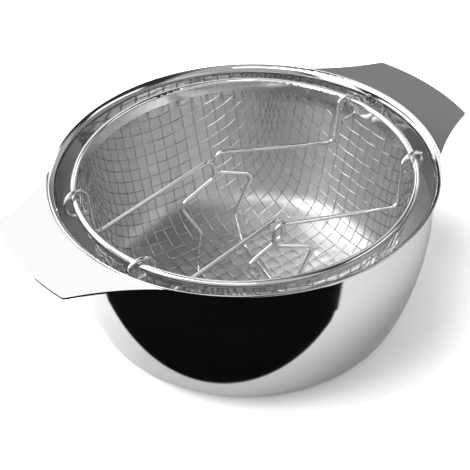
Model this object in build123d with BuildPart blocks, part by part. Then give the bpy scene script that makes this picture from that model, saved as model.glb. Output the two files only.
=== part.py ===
from build123d import *
import math
import os

os.makedirs("parts", exist_ok=True)

# Deep round pot with two flat wing handles and a lift-out wire basket
# Lengths are millimetres and angles are degrees
# The origin is the bottom centre of the pot, +Z is up and +X runs along the wing handles

# Pot shell
pot_height = 116.0
rim_radius = 130.0
lip_flare = 3.6
lip_angle = 70.0
pot_wall = 1.0
bottom_corner_radius = 20.0
wall_sweep_radius = 210.0
sweep_top_share = 0.764
rim_rounding_share = 0.42

# Wing handles
wing_thickness = 1.5
wing_reach = 30.3
wing_tip_half_width = 44.0
wing_root_half_width = 74.0
wing_end_bulge = 4.8
wing_side_sag = 3.2
wing_corner_radius = 7.0
wing_flange_width = 84.0
wing_flange_height = 9.0
weld_film = 0.05

# Basket rim: a sheet band rolled round a core wire, with two tails that clamp the mesh
basket_gap = 9.25
ring_drop = 5.3
bead_diameter = 4.7
band_sheet = 0.5
core_clearance = 0.05
tail_clearance = 0.05
hem_height = 12.5

# Basket mesh, a thin closed shell that stands for the woven wire cloth
mesh_wire = 0.9
floor_clearance = 0.3
mesh_floor_radius = 92.0
mesh_corner_radius = 30.0
mesh_hem_bend = 8.0
mesh_top_clearance = 0.3
mesh_bar = 3.0
floor_cells = 7
wall_cells = 24
wall_rows = 5

# Bails, bent from round wire and hooked over the rim bead
bail_wire = 3.0
hook_clearance = 0.75
hinge_drop = 3.9
eye_half_chord = 42.5
hook_pitch = 4.2
hook_end_reach = 6.5
hook_bend_share = 0.98
right_bail_turn = -9.3
left_bail_turn = 180.0
left_bail_half_width = 40.6
bail_nesting_step = 5.8
bail_bend_radius = 5.0
bail_tip_radius = 6.0
bail_grip_radius = 6.5
leg_wall_clearance = 0.5
grip_floor_clearance = 0.6
leg_depth_share = 0.306
tip_reach_shares = (1.001, 1.023)
tip_depth_shares = (0.099, 0.26)
notch_reach_share = 0.73
notch_depth_share = 0.379
step_reach_share = 0.877
step_depth_share = 0.672
grip_reach_share = 0.821

# Slots in the hem and the mesh where the hooks pass, and one overrun for all cuts
slot_clearance = 0.8
cut_overrun = 10.0

# Pot, worked out
body_radius = rim_radius - lip_flare
lip_turn = math.radians(lip_angle)
lip_radius = lip_flare / (1 - math.cos(lip_turn))
lip_centre_r = body_radius + lip_radius
lip_centre_z = pot_height - (lip_radius + pot_wall) * math.sin(lip_turn)
sweep_top = sweep_top_share * pot_height
sweep_run = wall_sweep_radius - bottom_corner_radius
sweep_rise = sweep_top - bottom_corner_radius
corner_centre_r = body_radius - wall_sweep_radius + math.sqrt(sweep_run**2 - sweep_rise**2)
corner_turn = math.degrees(math.asin(sweep_rise / sweep_run))
sweep_centre_r = body_radius - wall_sweep_radius
pot_inner_radius = body_radius - pot_wall
wing_corner_reach = rim_radius + wing_reach

# Basket, worked out
ring_radius = pot_inner_radius - basket_gap - bead_diameter / 2
ring_height = pot_height - ring_drop
core_radius = bead_diameter / 2 - band_sheet - core_clearance
tail_inner_r = ring_radius - bead_diameter / 2
mesh_inner_top_r = tail_inner_r + band_sheet + tail_clearance
mesh_outer_top_r = mesh_inner_top_r + mesh_wire
mesh_top_r = (mesh_inner_top_r + mesh_outer_top_r) / 2
tail_outer_r = mesh_outer_top_r + tail_clearance
hem_bottom = pot_height - hem_height
mesh_floor = pot_wall + floor_clearance + mesh_wire
mesh_top = ring_height - bead_diameter / 2 - mesh_top_clearance

# Bails, worked out
hook_radius = hinge_drop + bead_diameter / 2 + bail_wire / 2 + hook_clearance
hinge_height = ring_height - hinge_drop
hinge_distance = math.sqrt(ring_radius**2 - eye_half_chord**2)
grip_height = mesh_floor + mesh_wire / 2 + bail_wire / 2 + grip_floor_clearance
bail_depth = hinge_height - grip_height
right_bail_half_width = left_bail_half_width + bail_nesting_step


def mesh_radius_at(height):
    # Radius of the middle of the mesh wall at a height above the corner bend
    share = (height - mesh_floor) / (hem_bottom - mesh_floor)
    return mesh_floor_radius + share * (mesh_top_r - mesh_floor_radius)


def leg_reach(half_width):
    # The foot of a leg stands just inside the mesh wall
    height = hinge_height - leg_depth_share * bail_depth
    free_radius = mesh_radius_at(height) - mesh_wire / 2 - bail_wire / 2 - leg_wall_clearance
    return max(hook_radius, hinge_distance - math.sqrt(free_radius**2 - half_width**2))


def bail_points(half_width):
    # One half of a bail, from the cut end of its hook to the middle of the grip
    foot_half_width = (eye_half_chord + half_width) / 2
    near = hinge_distance - hook_radius
    far = hinge_distance + hook_radius
    top = hinge_height + hook_radius
    bottom = hinge_height - hook_radius
    grip_x = hinge_distance - grip_reach_share * hinge_distance
    tip_x = [hinge_distance - share * hinge_distance for share in tip_reach_shares]
    tip_z = [hinge_height - share * bail_depth for share in tip_depth_shares]
    return [
        (hinge_distance - hook_end_reach, eye_half_chord - hook_pitch, bottom),
        (far, eye_half_chord - hook_pitch * 2 / 3, bottom),
        (far, eye_half_chord - hook_pitch / 3, top),
        (near, eye_half_chord, top),
        (
            hinge_distance - leg_reach(foot_half_width),
            foot_half_width,
            hinge_height - leg_depth_share * bail_depth,
        ),
        (tip_x[0], half_width, tip_z[0]),
        (tip_x[1], half_width, tip_z[1]),
        (
            hinge_distance - notch_reach_share * hinge_distance,
            half_width,
            hinge_height - notch_depth_share * bail_depth,
        ),
        (
            hinge_distance - step_reach_share * hinge_distance,
            half_width,
            hinge_height - step_depth_share * bail_depth,
        ),
        (grip_x, half_width, grip_height),
        (grip_x, 0, grip_height),
    ]


bail_radii = [hook_radius * hook_bend_share] * 3
bail_radii += [bail_bend_radius, bail_tip_radius, bail_tip_radius]
bail_radii += [bail_bend_radius, bail_bend_radius, bail_grip_radius]


def offset_points(points, amount):
    # The same open outline moved to its left by an amount, with mitred corners
    lines = []
    for first, second in zip(points[:-1], points[1:]):
        run = (second[0] - first[0], second[1] - first[1])
        length = math.hypot(run[0], run[1])
        step = (-run[1] / length * amount, run[0] / length * amount)
        lines.append(((first[0] + step[0], first[1] + step[1]), run, step))
    moved = [lines[0][0]]
    for (start, run, _), (start_b, run_b, _) in zip(lines[:-1], lines[1:]):
        cross = run[0] * run_b[1] - run[1] * run_b[0]
        gap = (start_b[0] - start[0], start_b[1] - start[1])
        share = (gap[0] * run_b[1] - gap[1] * run_b[0]) / cross
        moved.append((start[0] + run[0] * share, start[1] + run[1] * share))
    last_step = lines[-1][2]
    moved.append((points[-1][0] + last_step[0], points[-1][1] + last_step[1]))
    return moved


# Pot shell: flat bottom, round corner, gently swept wall and a small flared lip
with BuildPart() as pot_shell:
    with BuildSketch(Plane.XZ) as pot_section:
        with BuildLine():
            floor_out = Line((0, 0), (corner_centre_r, 0))
            corner_out = CenterArc(
                (corner_centre_r, bottom_corner_radius), bottom_corner_radius, -90, 90 - corner_turn
            )
            sweep_out = CenterArc(
                (sweep_centre_r, sweep_top), wall_sweep_radius, -corner_turn, corner_turn
            )
            wall_out = Line((body_radius, sweep_top), (body_radius, lip_centre_z))
            lip_out = CenterArc((lip_centre_r, lip_centre_z), lip_radius, 180, -lip_angle)
            lip_in = CenterArc((lip_centre_r, lip_centre_z), lip_radius + pot_wall, 180, -lip_angle)
            edge = Line(lip_out @ 1, lip_in @ 1)
            wall_in = Line((pot_inner_radius, lip_centre_z), (pot_inner_radius, sweep_top))
            sweep_in = CenterArc(
                (sweep_centre_r, sweep_top), wall_sweep_radius - pot_wall, -corner_turn, corner_turn
            )
            corner_in = CenterArc(
                (corner_centre_r, bottom_corner_radius),
                bottom_corner_radius - pot_wall,
                -90,
                90 - corner_turn,
            )
            floor_in = Line((corner_centre_r, pot_wall), (0, pot_wall))
            axis_side = Line((0, pot_wall), (0, 0))
        make_face()
        fillet(pot_section.vertices().sort_by(Axis.Y)[-2:], pot_wall * rim_rounding_share)
    revolve(axis=Axis.Z)
pot_shell.part.label = "pot_shell"
export_step(pot_shell.part, "parts/pot_shell.step")

# Wing handle: a plate that turns down under the lip into a weld flange on the wall
wing_upper_radius = lip_radius - weld_film
wing_lower_radius = wing_upper_radius - wing_thickness
wing_top = lip_centre_z + wing_upper_radius
wing_bottom = lip_centre_z + wing_lower_radius
wing_inner_r = lip_centre_r - wing_upper_radius
flange_outer_r = lip_centre_r - wing_lower_radius
wing_end_reach = wing_corner_reach + wing_end_bulge
wing_root_x = math.sqrt(rim_radius**2 - wing_root_half_width**2)
wing_side_x = (wing_root_x + wing_corner_reach) / 2
wing_side_y = (wing_root_half_width + wing_tip_half_width) / 2 - wing_side_sag
with BuildPart() as right_wing:
    with BuildSketch(Plane.XZ):
        with BuildLine():
            CenterArc((lip_centre_r, lip_centre_z), wing_upper_radius, 90, 90)
            CenterArc((lip_centre_r, lip_centre_z), wing_lower_radius, 90, 90)
            Polyline(
                (lip_centre_r, wing_top),
                (wing_end_reach, wing_top),
                (wing_end_reach, wing_bottom),
                (lip_centre_r, wing_bottom),
            )
            Polyline(
                (wing_inner_r, lip_centre_z),
                (wing_inner_r, lip_centre_z - wing_flange_height),
                (flange_outer_r, lip_centre_z - wing_flange_height),
                (flange_outer_r, lip_centre_z),
            )
        make_face()
    revolve(axis=Axis.Z)
    with BuildSketch(Plane.XY.offset(lip_centre_z)) as wing_outline:
        with BuildLine():
            ThreePointArc(
                (wing_root_x, wing_root_half_width),
                (wing_side_x, wing_side_y),
                (wing_corner_reach, wing_tip_half_width),
            )
            ThreePointArc(
                (wing_corner_reach, wing_tip_half_width),
                (wing_end_reach, 0),
                (wing_corner_reach, -wing_tip_half_width),
            )
            ThreePointArc(
                (wing_corner_reach, -wing_tip_half_width),
                (wing_side_x, -wing_side_y),
                (wing_root_x, -wing_root_half_width),
            )
            Line((wing_root_x, -wing_root_half_width), (wing_root_x, wing_root_half_width))
        make_face()
        fillet(wing_outline.vertices().group_by(Axis.X)[-1], wing_corner_radius)
    with BuildSketch(Plane.XY.offset(lip_centre_z - wing_flange_height)) as flange_outline:
        with Locations(((wing_root_x + wing_end_reach) / 2, 0)):
            Rectangle(wing_end_reach - wing_root_x, wing_flange_width)
    keep_plate = extrude(wing_outline.sketch, amount=wing_upper_radius, mode=Mode.PRIVATE)
    keep_flange = extrude(flange_outline.sketch, amount=wing_flange_height, mode=Mode.PRIVATE)
    add(keep_plate + keep_flange, mode=Mode.INTERSECT)
right_wing.part.label = "right_wing"
export_step(right_wing.part, "parts/right_wing.step")

with BuildPart() as left_wing:
    add(right_wing.part, rotation=(0, 0, 180))
left_wing.part.label = "left_wing"
export_step(left_wing.part, "parts/left_wing.step")

# Core wire of the basket rim
with BuildPart() as rim_wire:
    with BuildSketch(Plane.XZ):
        with Locations((ring_radius, ring_height)):
            Circle(core_radius)
    revolve(axis=Axis.Z)
rim_wire.part.label = "rim_wire"
export_step(rim_wire.part, "parts/rim_wire.step")

# The band and the mesh are open at the four hooks
hook_inner_y = eye_half_chord - hook_pitch - bail_wire / 2 - slot_clearance
hook_outer_y = eye_half_chord + bail_wire / 2 + slot_clearance
slot_width = hook_outer_y - hook_inner_y
slot_bottom = hinge_height - hook_radius - bail_wire / 2 - slot_clearance
slot_places = []
for turn in (right_bail_turn, left_bail_turn):
    for side in (1, -1):
        middle = Vector(hinge_distance, side * (hook_inner_y + hook_outer_y) / 2, 0)
        spot = middle.rotate(Axis.Z, turn)
        slot_places.append(Location((spot.X, spot.Y, slot_bottom), (0, 0, turn)))
slot_length = 2 * (hook_radius + cut_overrun)
bead_underside = ring_height - bead_diameter / 2

# Rim band: rolled bead with an inner and an outer tail, notched at the hooks
with BuildPart() as rim_band:
    with BuildSketch(Plane.XZ):
        with Locations((ring_radius, ring_height)):
            Circle(bead_diameter / 2)
        with Locations((tail_inner_r + band_sheet / 2, (hem_bottom + ring_height) / 2)):
            Rectangle(band_sheet, ring_height - hem_bottom)
        with Locations((tail_outer_r + band_sheet / 2, (hem_bottom + ring_height) / 2)):
            Rectangle(band_sheet, ring_height - hem_bottom)
        with Locations((ring_radius, ring_height)):
            Circle(bead_diameter / 2 - band_sheet, mode=Mode.SUBTRACT)
    revolve(axis=Axis.Z)
    with Locations(*slot_places):
        Box(
            slot_length,
            slot_width,
            bead_underside - slot_bottom,
            align=(Align.CENTER, Align.CENTER, Align.MIN),
            mode=Mode.SUBTRACT,
        )
rim_band.part.label = "rim_band"
export_step(rim_band.part, "parts/rim_band.step")

# Openings of the mesh: a square grid on the floor and rows round the corner bend and the wall
wall_turn = math.atan2(hem_bottom - mesh_floor, mesh_top_r - mesh_floor_radius)
corner_tangent = mesh_corner_radius * math.tan(wall_turn / 2)
flat_radius = mesh_floor_radius - corner_tangent
corner_run = mesh_corner_radius * wall_turn
corner_rise = mesh_corner_radius * (1 - math.cos(wall_turn))
wall_rise = slot_bottom - mesh_bar - mesh_floor - corner_rise
row_pitch = (corner_run + wall_rise / math.sin(wall_turn)) / wall_rows
row_height = row_pitch - mesh_bar
floor_pitch = 2 * flat_radius / floor_cells
floor_hole = floor_pitch - mesh_bar


def mesh_spot(run):
    # Radius, height and slope of the middle of the mesh, a run outwards from its flat floor
    turn = min(run / mesh_corner_radius, wall_turn)
    rest = max(run - corner_run, 0)
    radius = flat_radius + mesh_corner_radius * math.sin(turn) + rest * math.cos(turn)
    height = mesh_floor + mesh_corner_radius * (1 - math.cos(turn)) + rest * math.sin(turn)
    return radius, height, math.degrees(turn)


floor_places = []
for place in GridLocations(floor_pitch, floor_pitch, floor_cells, floor_cells).locations:
    far_x = abs(place.position.X) + floor_hole / 2
    far_y = abs(place.position.Y) + floor_hole / 2
    if math.hypot(far_x, far_y) < flat_radius:
        floor_places.append(place)

# Mesh shell: flat floor, wide corner bend and a leaning wall up into the band
mesh_line = [
    (0, mesh_floor),
    (mesh_floor_radius, mesh_floor),
    (mesh_top_r, hem_bottom),
    (mesh_top_r, mesh_top),
]
mesh_half = mesh_wire / 2
mesh_inside = offset_points(mesh_line, mesh_half)
mesh_outside = offset_points(mesh_line, -mesh_half)
with BuildPart() as basket_mesh:
    with BuildSketch(Plane.XZ):
        with BuildLine():
            FilletPolyline(
                *mesh_inside, radius=[mesh_corner_radius - mesh_half, mesh_hem_bend - mesh_half]
            )
            FilletPolyline(
                *mesh_outside, radius=[mesh_corner_radius + mesh_half, mesh_hem_bend + mesh_half]
            )
            Line(mesh_inside[0], mesh_outside[0])
            Line(mesh_inside[-1], mesh_outside[-1])
        make_face()
    revolve(axis=Axis.Z)
    with Locations(*slot_places):
        Box(
            slot_length,
            slot_width,
            mesh_top - slot_bottom + cut_overrun,
            align=(Align.CENTER, Align.CENTER, Align.MIN),
            mode=Mode.SUBTRACT,
        )
    with Locations((0, 0, mesh_floor)):
        with Locations(*floor_places):
            Box(floor_hole, floor_hole, cut_overrun, mode=Mode.SUBTRACT)
    for row in range(wall_rows):
        radius, height, slope = mesh_spot((row + 1 / 2) * row_pitch)
        inner_radius = mesh_spot(row * row_pitch + mesh_bar / 2)[0]
        hole_width = 2 * math.pi * inner_radius / wall_cells - mesh_bar
        row_places = [
            Location((0, 0, 0), (0, 0, 360 * cell / wall_cells))
            * Location((radius, 0, height), (0, 90 - slope, 0))
            for cell in range(wall_cells)
        ]
        with Locations(*row_places):
            Box(cut_overrun, hole_width, row_height, mode=Mode.SUBTRACT)
basket_mesh.part.label = "basket_mesh"
export_step(basket_mesh.part, "parts/basket_mesh.step")

# Left bail, the narrower one, which folds and lifts inside the other
left_plane = Plane(origin=(0, 0, 0), x_dir=Vector(1, 0, 0).rotate(Axis.Z, left_bail_turn))
with BuildPart() as left_bail:
    with BuildLine(left_plane) as left_path:
        FilletPolyline(*bail_points(left_bail_half_width), radius=bail_radii)
    with BuildSketch(Plane(origin=left_path.line @ 0, z_dir=left_path.line % 0)):
        Circle(bail_wire / 2)
    sweep(path=left_path.line)
    mirror(about=Plane(origin=(0, 0, 0), z_dir=left_plane.y_dir))
left_bail.part.label = "left_bail"
export_step(left_bail.part, "parts/left_bail.step")

# Right bail, a little wider and turned a little round the rim
right_plane = Plane(origin=(0, 0, 0), x_dir=Vector(1, 0, 0).rotate(Axis.Z, right_bail_turn))
with BuildPart() as right_bail:
    with BuildLine(right_plane) as right_path:
        FilletPolyline(*bail_points(right_bail_half_width), radius=bail_radii)
    with BuildSketch(Plane(origin=right_path.line @ 0, z_dir=right_path.line % 0)):
        Circle(bail_wire / 2)
    sweep(path=right_path.line)
    mirror(about=Plane(origin=(0, 0, 0), z_dir=right_plane.y_dir))
right_bail.part.label = "right_bail"
export_step(right_bail.part, "parts/right_bail.step")

# Figures that the record uses
wire_section = math.pi * (bail_wire / 2) ** 2
for name, path, part in (
    ("left_bail", left_path, left_bail),
    ("right_bail", right_path, right_bail),
):
    length = 2 * sum(edge.length for edge in path.edges())
    print(name, "volume", round(part.part.volume), "from length", round(wire_section * length))
print("hinge distance", round(hinge_distance, 3), "height", round(hinge_height, 3))
print("hook radius", round(hook_radius, 2), "grip height", round(grip_height, 2))
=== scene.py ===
import bpy
import math
import numpy as np
from mathutils import Matrix, Vector


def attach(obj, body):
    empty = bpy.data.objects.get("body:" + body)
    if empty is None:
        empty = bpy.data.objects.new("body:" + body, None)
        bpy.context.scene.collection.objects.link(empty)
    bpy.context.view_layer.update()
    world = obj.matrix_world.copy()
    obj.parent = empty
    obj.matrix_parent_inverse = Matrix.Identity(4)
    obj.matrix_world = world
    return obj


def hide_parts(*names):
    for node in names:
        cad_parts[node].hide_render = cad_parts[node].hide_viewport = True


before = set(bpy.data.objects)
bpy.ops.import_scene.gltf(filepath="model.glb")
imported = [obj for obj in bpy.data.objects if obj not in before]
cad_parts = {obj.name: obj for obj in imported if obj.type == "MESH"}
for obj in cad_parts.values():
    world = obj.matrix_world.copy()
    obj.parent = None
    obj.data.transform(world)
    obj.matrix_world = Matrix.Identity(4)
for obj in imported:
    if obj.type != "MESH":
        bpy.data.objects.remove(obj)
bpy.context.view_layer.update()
bpy.ops.object.select_all(action="DESELECT")
print("frame loaded:", ", ".join(sorted(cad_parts)))


# camera, set up from the rim, the bead and the wing corners of the photograph

cameraSettings = {
    "place": (-0.3262, -0.4832, 0.5336),
    "right": (0.82076, -0.57032, -0.03311),
    "up": (0.38327, 0.50674, 0.77221),
    "back": (-0.42363, -0.64649, 0.63450),
    "lens": 82.41,
    "sensor": 36.0,
    "nearest": 0.05,
    "farthest": 20.0,
}


def addCamera(settings):
    data = bpy.data.cameras.new("photoCamera")
    data.lens = settings["lens"]
    data.sensor_width = settings["sensor"]
    data.clip_start = settings["nearest"]
    data.clip_end = settings["farthest"]
    camera = bpy.data.objects.new("photoCamera", data)
    bpy.context.collection.objects.link(camera)
    turn = Matrix((settings["right"], settings["up"], settings["back"])).transposed().to_4x4()
    camera.matrix_world = Matrix.Translation(settings["place"]) @ turn
    bpy.context.scene.camera = camera


addCamera(cameraSettings)
print("camera ready")


# small helpers for node trees

def addNode(tree, kind, place=(0, 0), **values):
    node = tree.nodes.new(kind)
    node.location = place
    for name, value in values.items():
        setattr(node, name, value)
    return node


def feed(tree, socket, value):
    # a plain number is set on the socket, anything else is linked to it
    if isinstance(value, (int, float)):
        socket.default_value = value
    else:
        tree.links.new(value, socket)


def mathNode(tree, operation, *values):
    node = addNode(tree, "ShaderNodeMath", operation=operation)
    for socket, value in zip(node.inputs, values):
        feed(tree, socket, value)
    return node.outputs[0]


def mixNode(tree, share, first, second):
    node = addNode(tree, "ShaderNodeMix", data_type="FLOAT")
    for socket, value in zip((node.inputs[0], node.inputs[2], node.inputs[3]), (share, first, second)):
        feed(tree, socket, value)
    return node.outputs[0]


def rangeNode(tree, value, low, high, outLow, outHigh, kind="SMOOTHSTEP"):
    node = addNode(tree, "ShaderNodeMapRange", interpolation_type=kind)
    tree.links.new(value, node.inputs["Value"])
    for name, number in (("From Min", low), ("From Max", high), ("To Min", outLow), ("To Max", outHigh)):
        node.inputs[name].default_value = number
    return node.outputs["Result"]


def splitNode(tree, vector):
    node = addNode(tree, "ShaderNodeSeparateXYZ")
    tree.links.new(vector, node.inputs[0])
    return node.outputs


def emptyTree(owner):
    owner.use_nodes = True
    owner.node_tree.nodes.clear()
    return owner.node_tree


def addGroup(name, inputs, outputs):
    group = bpy.data.node_groups.new(name, "ShaderNodeTree")
    for socket, kind, value in inputs:
        made = group.interface.new_socket(name=socket, in_out="INPUT", socket_type=kind)
        if value is not None:
            made.default_value = value
    for socket, kind in outputs:
        group.interface.new_socket(name=socket, in_out="OUTPUT", socket_type=kind)
    return group, addNode(group, "NodeGroupInput", (-900, 0)), addNode(group, "NodeGroupOutput", (700, 0))


# studio: white table, two soft lamps from the back left, panels that only the steel sees

tableSettings = {
    "radius": 1.5,
    "corners": 96,
    "height": -0.0002,
    "colour": 0.86,
    "seenColour": 2.3,    # white to the camera
    "inSteel": 1.3,
    # the line past which steel sees the table painted near-black, a painted dark reflection
    "darkReflectionNormal": (-0.776, -0.631, 0.0),
    "darkReflectionDistance": 0.122,
    "darkReflectionSoftness": 0.001,
    "paintedDarkReflection": 0.006,
}

lampSettings = {
    "distance": 1.8,
    "size": 1.6,
    "lamps": [    # name, azimuth, elevation, power
        ("highLamp", 140.0, 70.0, 21.0),
        ("lowLamp", 160.0, 30.0, 8.3),
    ],
}

surroundSettings = {
    "skyStrength": 0.28,
    "darkRoom": 0.04,
    "panels": [    # name, azimuth, elevation, width, height, softness in degrees, strength
        ("backBox", 84.0, 37.0, 60.0, 36.0, 2.0, 1.3),
        ("backHot", 110.0, 43.0, 44.0, 24.0, 6.0, 2.2),
        ("rightLow", 24.0, 18.0, 58.0, 36.0, 4.0, 0.25),
        ("longBox", 159.0, 50.0, 62.0, 20.0, 6.0, 3.5),
        ("backWall", 120.0, 4.0, 53.0, 28.0, 4.0, 2.8),
        ("leftWall", 175.0, 25.0, 24.0, 72.0, 7.0, 2.1),
        ("frontStrip", -37.0, 34.0, 41.0, 14.0, 3.0, 1.7),
        ("ceiling", 174.0, 58.0, 135.0, 15.0, 3.0, 2.2),
        ("frontLeft", -120.0, 45.0, 85.0, 77.0, 8.0, 0.5),
        ("overBox", 35.0, 50.0, 15.0, 15.0, 4.0, 1.5),
        ("farStrip", 29.0, 29.0, 20.0, 9.0, 3.0, 2.4),
        ("backHigh", 90.0, 79.0, 41.0, 21.0, 5.0, 1.1),
        ("overhead", 0.0, 84.0, 360.0, 20.0, 8.0, 0.3),
        ("frontLow", -40.0, 16.0, 130.0, 24.0, 8.0, 0.30),
    ],
}


def towards(azimuth, elevation):
    a, e = math.radians(azimuth), math.radians(elevation)
    return Vector((math.cos(a) * math.cos(e), math.sin(a) * math.cos(e), math.sin(e)))


def seenDirectly(tree, seen):
    # by the camera, or through glass
    return mathNode(tree, "MAXIMUM", seen.outputs["Is Camera Ray"], seen.outputs["Is Transmission Ray"])


def addTable(settings):
    # white table to the camera; to steel it is painted near-black past a line close before the pot, a painted
    # dark reflection standing in for the dark room
    bpy.ops.mesh.primitive_circle_add(vertices=settings["corners"], radius=settings["radius"],
                                      fill_type="NGON", location=(0, 0, settings["height"]))
    table = bpy.context.active_object
    table.name = "whiteTable"
    paint = bpy.data.materials.new("whiteTable")
    tree = emptyTree(paint)
    link = tree.links.new
    seen = addNode(tree, "ShaderNodeLightPath", (-900, 300))
    where = addNode(tree, "ShaderNodeTexCoord", (-900, -200))
    ahead = addNode(tree, "ShaderNodeVectorMath", (-700, -200), operation="DOT_PRODUCT")
    link(where.outputs["Object"], ahead.inputs[0])
    ahead.inputs[1].default_value = settings["darkReflectionNormal"]
    edge, soft = settings["darkReflectionDistance"], settings["darkReflectionSoftness"]
    # what steel sees of the table: bright up to the line, painted near-black past it, a painted dark reflection
    inSteel = rangeNode(tree, ahead.outputs["Value"], edge - soft, edge + soft,
                        settings["inSteel"], settings["paintedDarkReflection"])
    plain = mixNode(tree, seenDirectly(tree, seen), settings["colour"], settings["seenColour"])
    colour = mixNode(tree, seen.outputs["Is Glossy Ray"], plain, inSteel)
    matt = addNode(tree, "ShaderNodeBsdfDiffuse", (100, 100))
    link(colour, matt.inputs["Color"])
    out = addNode(tree, "ShaderNodeOutputMaterial", (300, 100))
    link(matt.outputs[0], out.inputs["Surface"])
    table.data.materials.append(paint)


def addLamp(name, azimuth, elevation, power, settings):
    data = bpy.data.lights.new(name, "AREA")
    data.shape = "DISK"
    data.size = settings["size"]
    data.energy = power
    lamp = bpy.data.objects.new(name, data)
    bpy.context.collection.objects.link(lamp)
    away = towards(azimuth, elevation)
    lamp.location = away * settings["distance"]
    lamp.rotation_euler = away.to_track_quat("Z", "Y").to_euler()
    lamp.visible_glossy = False
    lamp.visible_camera = False


def makePanelGroup():
    # one soft panel of the studio, as seen in a direction
    group, start, end = addGroup("softPanel",
                                 [("Direction", "NodeSocketVector", None), ("Azimuth", "NodeSocketFloat", 0.0),
                                  ("Elevation", "NodeSocketFloat", 0.0), ("Width", "NodeSocketFloat", 30.0),
                                  ("Height", "NodeSocketFloat", 30.0), ("Softness", "NodeSocketFloat", 5.0),
                                  ("Strength", "NodeSocketFloat", 1.0)],
                                 [("Light", "NodeSocketFloat")])
    x, y, z = splitNode(group, start.outputs["Direction"])
    turn = mathNode(group, "DEGREES", mathNode(group, "ARCTAN2", y, x))
    rise = mathNode(group, "DEGREES", mathNode(group, "ARCSINE", z))
    side = mathNode(group, "SUBTRACT", turn, start.outputs["Azimuth"])
    side = mathNode(group, "WRAP", side, 180.0, -180.0)
    level = mathNode(group, "SUBTRACT", rise, start.outputs["Elevation"])
    light = start.outputs["Strength"]
    for distance, size in ((side, "Width"), (level, "Height")):
        inside = mathNode(group, "SUBTRACT", mathNode(group, "DIVIDE", start.outputs[size], 2.0),
                          mathNode(group, "ABSOLUTE", distance))
        share = mathNode(group, "DIVIDE", inside, start.outputs["Softness"])
        light = mathNode(group, "MULTIPLY", light, rangeNode(group, share, -1.0, 1.0, 0.0, 1.0))
    group.links.new(light, end.inputs["Light"])
    return group


def addSurroundings(settings):
    world = bpy.data.worlds.new("studio")
    world.cycles.sampling_method = "NONE"    # the panels are only mirrored, not aimed at as lamps
    bpy.context.scene.world = world
    tree = emptyTree(world)
    where = addNode(tree, "ShaderNodeTexCoord", (-1200, 0))
    panelGroup = makePanelGroup()
    total = settings["darkRoom"]
    for row, (name, *numbers) in enumerate(settings["panels"]):
        panel = addNode(tree, "ShaderNodeGroup", (-900, -220 * row), node_tree=panelGroup, label=name)
        tree.links.new(where.outputs["Generated"], panel.inputs["Direction"])
        for socket, number in zip(("Azimuth", "Elevation", "Width", "Height", "Softness", "Strength"), numbers):
            panel.inputs[socket].default_value = number
        total = mathNode(tree, "ADD", panel.outputs["Light"], total)
    seen = addNode(tree, "ShaderNodeLightPath", (-600, 400))
    level = mixNode(tree, seen.outputs["Is Glossy Ray"], settings["skyStrength"], total)
    sky = addNode(tree, "ShaderNodeBackground", (300, 0))
    sky.inputs["Color"].default_value = (1, 1, 1, 1)
    tree.links.new(mixNode(tree, seenDirectly(tree, seen), level, 1.0), sky.inputs["Strength"])
    out = addNode(tree, "ShaderNodeOutputWorld", (500, 0))
    tree.links.new(sky.outputs[0], out.inputs["Surface"])


addTable(tableSettings)
for name, azimuth, elevation, power in lampSettings["lamps"]:
    addLamp(name, azimuth, elevation, power, lampSettings)
addSurroundings(surroundSettings)
bpy.context.scene.view_settings.view_transform = "Standard"
print("studio ready")


# wire cloth of the basket: square cells laid over the bowl, every wire one pitch from the next

clothSettings = {
    "pitch": 0.009,
    "wireDiameter": 0.0009,
    "wireRoundness": 2,
    "weaveLift": 0.00045,
    "floorRadius": 0.092,
    "floorHeight": 0.0022,
    "cornerRadius": 0.030,
    "cornerPoints": 24,
    "hemRadius": 0.1125,
    "hemHeight": 0.105,
    "spare": 0.05,    # the bowl goes on past the hem, so that the last cells can be solved
    "stepsPerCell": 4,
    "shortestRun": 3,
    "slotTurns": (180.0, -9.3),    # left and right bail
    "slotSides": (0.0357, 0.0451),
    "slotBottom": 0.0957,
}

# how the crossings of the wires are searched for
netSettings = {
    "tries": 40,
    "closeEnough": 1e-12,
    "nudge": 1e-7,
    "longestMove": 0.002,
    "starts": 9,
    "lastRow": 1.1,    # share of the length up to the hem
    "leastSpan": 0.15,    # share of the pitch, between a cell's far corners
}


def bowlLine(cloth):
    # half section of the bowl from its middle up to the hem, with the length run so far
    start = np.array((0.0, cloth["floorHeight"]))
    corner = np.array((cloth["floorRadius"], cloth["floorHeight"]))
    top = np.array((cloth["hemRadius"], cloth["hemHeight"]))
    inward = (start - corner) / np.linalg.norm(start - corner)
    upward = (top - corner) / np.linalg.norm(top - corner)
    half = math.acos(inward @ upward) / 2
    reach = cloth["cornerRadius"] / math.tan(half)
    bisector = (inward + upward) / np.linalg.norm(inward + upward)
    middle = corner + bisector * cloth["cornerRadius"] / math.sin(half)
    first = corner + inward * reach - middle
    last = corner + upward * reach - middle
    turn = math.atan2(first[0] * last[1] - first[1] * last[0], first @ last)
    points = [start]
    for share in np.linspace(0, 1, cloth["cornerPoints"]):
        c, s = math.cos(turn * share), math.sin(turn * share)
        points.append(middle + np.array((c * first[0] - s * first[1], s * first[0] + c * first[1])))
    points.append(top)
    points = np.array(points)
    run = np.concatenate(((0.0,), np.cumsum(np.linalg.norm(np.diff(points, axis=0), axis=1))))
    past = points[-1] + upward * cloth["spare"]
    return np.vstack((points, past)), np.append(run, run[-1] + cloth["spare"]), run[-1]


def bowlPoint(line, run, length, angle):
    r = np.interp(length, run, line[:, 0])
    z = np.interp(length, run, line[:, 1])
    return np.array((r * math.cos(angle), r * math.sin(angle), z))


def bowlNormal(line, run, length, angle):
    step = 0.0004
    before, after = max(length - step, 0), length + step
    dr = np.interp(after, run, line[:, 0]) - np.interp(before, run, line[:, 0])
    dz = np.interp(after, run, line[:, 1]) - np.interp(before, run, line[:, 1])
    normal = np.array((-dz * math.cos(angle), -dz * math.sin(angle), dr))
    return normal / np.linalg.norm(normal)


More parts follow.
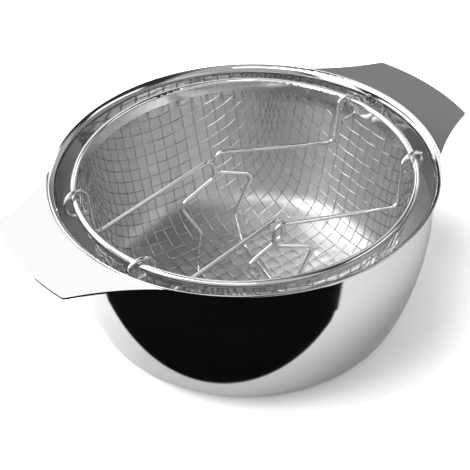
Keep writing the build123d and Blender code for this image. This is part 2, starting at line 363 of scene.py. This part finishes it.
def crossingFrom(line, run, pitch, beside, below, guess, search):
    # the point on the bowl one pitch from both neighbours
    length, angle = guess
    nudge, longest = search["nudge"], search["longestMove"]
    for _ in range(search["tries"]):
        here = bowlPoint(line, run, length, angle)
        fromBeside, fromBelow = here - beside, here - below
        miss = np.array((fromBeside @ fromBeside, fromBelow @ fromBelow)) - pitch ** 2
        if abs(miss).max() < search["closeEnough"]:
            return length, angle
        alongLine = (bowlPoint(line, run, length + nudge, angle) - here) / nudge
        alongRing = (bowlPoint(line, run, length, angle + nudge) - here) / nudge
        slopes = 2 * np.array(((fromBeside @ alongLine, fromBeside @ alongRing),
                               (fromBelow @ alongLine, fromBelow @ alongRing)))
        if abs(np.linalg.det(slopes)) < search["closeEnough"]:
            return None
        move = np.linalg.solve(slopes, -miss)
        ring = max(math.hypot(here[0], here[1]), longest)
        damp = max(abs(move[0]) / longest, abs(move[1]) * ring / longest, 1.0)
        length += move[0] / damp
        angle += move[1] / damp
        if length < 0:
            length, angle = -length, angle + math.pi
    return None


def layNet(cloth, search):
    # one quarter of the crossings, by their row and column, as length and angle on the bowl
    line, run, hem = bowlLine(cloth)
    pitch = cloth["pitch"]
    count = int(run[-1] / pitch)
    net = {(i, 0): (i * pitch, 0.0) for i in range(count)}
    net.update({(0, j): (j * pitch, math.pi / 2) for j in range(1, count)})
    for total in range(2, 2 * count):
        for i in range(1, total):
            j = total - i
            beside, below, behind = net.get((i - 1, j)), net.get((i, j - 1)), net.get((i - 1, j - 1))
            if i >= count or j >= count or None in (beside, below, behind):
                continue
            if min(beside[0], below[0]) > hem * search["lastRow"]:
                continue
            a, b, c = (bowlPoint(line, run, *knot) for knot in (beside, below, behind))
            ahead = a + b - c
            angle = math.atan2(ahead[1], ahead[0])
            farther = max(beside[0], below[0])
            starts = np.linspace(farther - pitch, farther + pitch, search["starts"])
            length = min(starts, key=lambda t: np.linalg.norm(bowlPoint(line, run, t, angle) - ahead))
            knot = crossingFrom(line, run, pitch, a, b, (length, angle), search)
            if knot and np.linalg.norm(bowlPoint(line, run, *knot) - c) > search["leastSpan"] * pitch:
                net[(i, j)] = knot
    return line, run, hem, net, count


def inSlot(cloth, spot):
    # the cloth is cut away where the hooks of the bails pass
    if spot[2] < cloth["slotBottom"]:
        return False
    inside, outside = cloth["slotSides"]
    for turn in cloth["slotTurns"]:
        c, s = math.cos(math.radians(turn)), math.sin(math.radians(turn))
        if spot[0] * c + spot[1] * s > 0 and inside < abs(spot[1] * c - spot[0] * s) < outside:
            return True
    return False


def smoothBetween(before, here, after, later, t):
    return 0.5 * (2 * here + (after - before) * t
                  + (2 * before - 5 * here + 4 * after - later) * t ** 2
                  + (3 * here - before - 3 * after + later) * t ** 3)


def wireRuns(cloth, across):
    # the middle line of every wire of one direction, waving over and under the other direction
    line, run, hem, net, count = layNet(cloth, netSettings)
    steps = cloth["stepsPerCell"]
    runs = []
    for row in range(1 - count, count):
        knots = []
        for column in range(1 - count, count):
            i, j = (column, row) if across else (row, column)
            knot = net.get((abs(i), abs(j)))
            if knot is None:
                continue
            quarter = np.array((1 if i >= 0 else -1, 1 if j >= 0 else -1, 1))
            side = 1 if ((i + j) % 2 == 0) == across else -1
            knots.append((bowlPoint(line, run, *knot) * quarter, knot[0], side))
        points = []
        for n in range(1, len(knots) - 2):
            around = [knots[k][0] for k in (n - 1, n, n + 1, n + 2)]
            for s in range(steps):
                t = s / steps
                spot = smoothBetween(*around, t)
                length = knots[n][1] * (1 - t) + knots[n + 1][1] * t
                if length > hem or inSlot(cloth, spot):
                    runs.append(points)
                    points = []
                    continue
                normal = bowlNormal(line, run, length, math.atan2(spot[1], spot[0]))
                points.append(spot + normal * cloth["weaveLift"] * knots[n][2] * math.cos(math.pi * t))
        runs.append(points)
    return [points for points in runs if len(points) > cloth["shortestRun"]]


def addClothWires(name, cloth, across):
    runs = wireRuns(cloth, across)
    curve = bpy.data.curves.new(name, "CURVE")
    curve.dimensions = "3D"
    curve.bevel_depth = cloth["wireDiameter"] / 2
    curve.bevel_resolution = cloth["wireRoundness"]
    curve.use_fill_caps = True
    for points in runs:
        spline = curve.splines.new("POLY")
        spline.points.add(len(points) - 1)
        for target, spot in zip(spline.points, points):
            target.co = (*spot, 1.0)
    piece = bpy.data.objects.new(name, curve)
    bpy.context.collection.objects.link(piece)
    bpy.ops.object.select_all(action="DESELECT")
    bpy.context.view_layer.objects.active = piece
    piece.select_set(True)
    bpy.ops.object.convert(target="MESH")
    piece = bpy.context.active_object
    bpy.ops.object.shade_smooth()
    print(name, len(runs), "wires", len(piece.data.polygons), "faces")
    return piece


acrossWires = addClothWires("basketWiresAcross", clothSettings, True)
alongWires = addClothWires("basketWiresAlong", clothSettings, False)
for piece in (acrossWires, alongWires):
    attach(piece, "basket")
    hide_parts("basket_mesh")
print("wire cloth ready")


# steel finishes

grainSettings = {"fineness": 1600.0, "perTurn": 2.0, "detail": 3.0}
marksSettings = {"scale": 14.0, "detail": 4.0, "distortion": 0.6, "faint": 0.42, "full": 0.72}

# colour, then roughness: gloss everywhere, marks and rings where their patterns are strongest
potFinish = {
    "colour": 0.68,
    "gloss": 0.05,
    "marks": 0.02,
    "rings": 0.08,
    "bump": 0.00002,
    "bumpStrength": 0.35,
    # the inner side is only satin, with light spread across its rings, up to below the lip
    "inside": {
        "colour": 0.82,
        "gloss": 0.30,
        "spread": 0.8,
        "quarterTurn": 0.25,
        "floorShare": 0.05,
        "fade": 0.02,
        "top": (0.082, 0.098),
    },
}
bandFinish = {"colour": 0.84, "gloss": 0.06, "marks": 0.03, "rings": 0.04, "bump": 0.00001, "bumpStrength": 0.2}
wingFinish = {"colour": 0.72, "gloss": 0.08, "marks": 0.03}
coreFinish = {"colour": 0.70, "gloss": 0.20, "marks": 0.03}
# bails and wire cloth: a near-black specular tint darkens their reflections towards the edges, painted shade
# for the dark studio seen at grazing
bailFinish = {"colour": 0.84, "paintedDarkEdges": 0.05, "gloss": 0.03, "marks": 0.02}
clothFinish = {"colour": 0.66, "paintedDarkEdges": 0.05, "gloss": 0.04, "marks": 0.03}

steelFinishes = {
    "pot_shell": potFinish,
    "left_wing": wingFinish,
    "right_wing": wingFinish,
    "rim_wire": coreFinish,
    "rim_band": bandFinish,
    "left_bail": bailFinish,
    "right_bail": bailFinish,
    "basket_mesh": clothFinish,
}


def makeTurnedGrain(settings):
    # fine rings left by polishing on a spinning chuck, round the upright axis
    group, start, end = addGroup("turnedGrain",
                                 [("Vector", "NodeSocketVector", None),
                                  ("Fineness", "NodeSocketFloat", settings["fineness"])],
                                 [("Rings", "NodeSocketFloat")])
    link = group.links.new
    x, y, z = splitNode(group, start.outputs["Vector"])
    radius = mathNode(group, "SQRT", mathNode(group, "ADD", mathNode(group, "MULTIPLY", x, x),
                                              mathNode(group, "MULTIPLY", y, y)))
    joined = addNode(group, "ShaderNodeCombineXYZ", (-100, 0))
    link(mathNode(group, "MULTIPLY", radius, start.outputs["Fineness"]), joined.inputs[0])
    link(mathNode(group, "MULTIPLY", z, start.outputs["Fineness"]), joined.inputs[1])
    link(mathNode(group, "MULTIPLY", mathNode(group, "ARCTAN2", y, x), settings["perTurn"]), joined.inputs[2])
    noise = addNode(group, "ShaderNodeTexNoise", (200, 0))
    noise.inputs["Scale"].default_value = 1.0
    noise.inputs["Detail"].default_value = settings["detail"]
    link(joined.outputs[0], noise.inputs["Vector"])
    link(noise.outputs["Fac"], end.inputs["Rings"])
    return group


def makeHandling(settings):
    # faint wipe marks and haze
    group, start, end = addGroup("handlingMarks",
                                 [("Vector", "NodeSocketVector", None),
                                  ("Scale", "NodeSocketFloat", settings["scale"])],
                                 [("Marks", "NodeSocketFloat")])
    link = group.links.new
    cloud = addNode(group, "ShaderNodeTexNoise", (-400, 100))
    cloud.inputs["Detail"].default_value = settings["detail"]
    cloud.inputs["Distortion"].default_value = settings["distortion"]
    link(start.outputs["Vector"], cloud.inputs["Vector"])
    link(start.outputs["Scale"], cloud.inputs["Scale"])
    link(rangeNode(group, cloud.outputs["Fac"], settings["faint"], settings["full"], 0.0, 1.0),
         end.inputs["Marks"])
    return group


turnedGrain = makeTurnedGrain(grainSettings)
handlingMarks = makeHandling(marksSettings)


def innerSide(tree, where, inside):
    # 1 on steel that faces the axis or lies on the pot's floor, fading out below the lip
    outward = addNode(tree, "ShaderNodeVectorMath", (-900, -500), operation="MULTIPLY")
    tree.links.new(where.outputs["Object"], outward.inputs[0])
    outward.inputs[1].default_value = (1, 1, 0)
    facing = addNode(tree, "ShaderNodeVectorMath", (-700, -500), operation="DOT_PRODUCT")
    tree.links.new(outward.outputs[0], facing.inputs[0])
    tree.links.new(where.outputs["Normal"], facing.inputs[1])
    upward = splitNode(tree, where.outputs["Normal"])[2]
    inner = mathNode(tree, "SUBTRACT", mathNode(tree, "MULTIPLY", upward, inside["floorShare"]),
                     facing.outputs["Value"])
    inner = rangeNode(tree, inner, 0.0, inside["fade"], 0.0, 1.0)
    height = splitNode(tree, where.outputs["Object"])[2]
    return mathNode(tree, "MULTIPLY", inner, rangeNode(tree, height, *inside["top"], 1.0, 0.0))


def makeSteel(name, finish):
    steel = bpy.data.materials.new(name)
    tree = emptyTree(steel)
    link = tree.links.new
    where = addNode(tree, "ShaderNodeTexCoord", (-1200, 0))
    shader = addNode(tree, "ShaderNodeBsdfPrincipled", (300, 0))
    shader.inputs["Metallic"].default_value = 1.0
    shader.inputs["Base Color"].default_value = (finish["colour"],) * 3 + (1,)
    # a near-black specular tint paints dark edges on thin steel, painted shade standing in for dark reflections
    if "paintedDarkEdges" in finish:
        shader.inputs["Specular Tint"].default_value = (finish["paintedDarkEdges"],) * 3 + (1,)
    out = addNode(tree, "ShaderNodeOutputMaterial", (600, 0))
    link(shader.outputs[0], out.inputs["Surface"])
    marks = addNode(tree, "ShaderNodeGroup", (-900, 200), node_tree=handlingMarks)
    link(where.outputs["Object"], marks.inputs["Vector"])
    rough = mathNode(tree, "MULTIPLY", marks.outputs["Marks"], finish["marks"])
    rough = mathNode(tree, "ADD", rough, finish["gloss"])
    if "rings" in finish:
        grain = addNode(tree, "ShaderNodeGroup", (-900, -100), node_tree=turnedGrain)
        link(where.outputs["Object"], grain.inputs["Vector"])
        bump = addNode(tree, "ShaderNodeBump", (0, -300))
        bump.inputs["Distance"].default_value = finish["bump"]
        bump.inputs["Strength"].default_value = finish["bumpStrength"]
        link(grain.outputs["Rings"], bump.inputs["Height"])
        link(bump.outputs[0], shader.inputs["Normal"])
        extra = mathNode(tree, "MULTIPLY", grain.outputs["Rings"], finish["rings"])
        if "inside" in finish:
            inside = finish["inside"]
            around = addNode(tree, "ShaderNodeTangent", (0, -500), direction_type="RADIAL", axis="Z")
            link(around.outputs[0], shader.inputs["Tangent"])
            shader.inputs["Anisotropic"].default_value = inside["spread"]
            shader.inputs["Anisotropic Rotation"].default_value = inside["quarterTurn"]
            inner = innerSide(tree, where, inside)
            tone = rangeNode(tree, inner, 0.0, 1.0, finish["colour"], inside["colour"], "LINEAR")
            link(tone, shader.inputs["Base Color"])
            extra = mathNode(tree, "ADD", extra, inside["gloss"] - finish["gloss"])
            extra = mathNode(tree, "MULTIPLY", extra, inner)
        rough = mathNode(tree, "ADD", rough, extra)
    link(rough, shader.inputs["Roughness"])
    return steel


for node, finish in steelFinishes.items():
    steel = makeSteel(node.replace("_", " ") + " steel", finish)
    if node == "basket_mesh":
        for piece in (acrossWires, alongWires):
            piece.data.materials.append(steel)
    else:
        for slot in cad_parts[node].material_slots:
            slot.material = steel
print("finishes ready")
